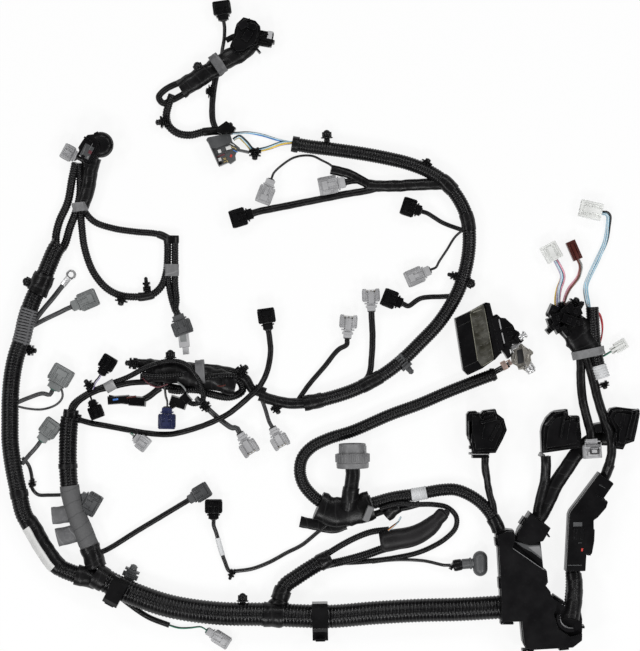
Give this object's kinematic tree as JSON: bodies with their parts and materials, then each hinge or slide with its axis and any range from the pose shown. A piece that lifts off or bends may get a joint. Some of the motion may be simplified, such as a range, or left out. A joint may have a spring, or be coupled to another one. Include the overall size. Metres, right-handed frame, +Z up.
{
  "type": "wiring harness",
  "caption": "Car wiring harness laid flat: corrugated conduits, taped branches, sealed plugs, a junction box, a fuse box and a battery clamp.",
  "frame": {"origin": "middle of the outline, on the surface it lies on", "axes": "+Z up from that surface, +Y away from the junction box end, +X to the right"},
  "size_m": [0.8639, 0.8809, 0.0443],
  "materials": {
    "conduit": "satin black corrugated tube",
    "tape": "black harness tape",
    "black_plastic": "moulded black",
    "grey_plastic": "moulded grey",
    "dark_grey_plastic": "moulded dark grey",
    "light_plastic": "moulded pale grey",
    "white_plastic": "moulded natural white",
    "brown_plastic": "moulded dark brown",
    "blue_plastic": "moulded navy blue",
    "clear_window": "smoky clear",
    "clamp_metal": "cast and worn",
    "tinned_steel": "tin plated",
    "copper_lug": "copper",
    "boot_rubber": "matt rubber"
  },
  "bodies": {
    "root": {"main_trunk": "conduit", "left_trunk": "conduit", "centre_trunk": "tape", "upper_trunk": "conduit", "box_conduit": "conduit", "boot_branch": "conduit", "control_leads": "tape", "cabin_cable": "tape", "drum_branch": "conduit", "fold_bundle": "tape", "cross_lead": "tape", "top_bundle": "tape", "top_plug": "black_plastic", "thin_lead_plug": "light_plastic", "long_lead_plug": "black_plastic", "branch_plug": "light_plastic", "inner_plug": "black_plastic", "pale_plug": "light_plastic", "small_lead_plug": "black_plastic", "injector_plug_1": "light_plastic", "injector_plug_2": "light_plastic", "white_plug_1": "white_plastic", "white_plug_2": "white_plastic", "brown_plug": "brown_plastic", "tape_end_plug": "light_plastic", "ear_plug_1": "grey_plastic", "ear_plug_2": "grey_plastic", "ear_plug_3": "grey_plastic", "oval_plug": "dark_grey_plastic", "strip_lead_plug": "dark_grey_plastic", "sensor_plug": "black_plastic", "under_plug": "light_plastic", "blue_plug": "blue_plastic", "pair_plug_1": "light_plastic", "pair_plug_2": "light_plastic", "tall_lead_plug": "black_plastic", "loop_end_plug": "dark_grey_plastic", "control_plug_1": "black_plastic", "control_plug_2": "black_plastic", "control_plug_3": "black_plastic", "ring_terminal": "tinned_steel", "round_plug": "grey_plastic", "drum_connector": "black_plastic", "fuse_plug": "dark_grey_plastic", "tee_plug": "grey_plastic", "fuse_box_base": "black_plastic", "fuse_box_window": "clear_window", "fuse_box_holder": "black_plastic", "battery_clamp": "clamp_metal", "clamp_stud": "tinned_steel", "cable_lug": "copper_lug", "junction_box_base": "black_plastic", "junction_box_cover": "black_plastic", "channel_base": "black_plastic", "channel_cover": "black_plastic", "rubber_boot": "boot_rubber", "large_clip_1": "black_plastic", "large_clip_2": "black_plastic", "top_cap": "black_plastic"}
  },
  "joints": []
}
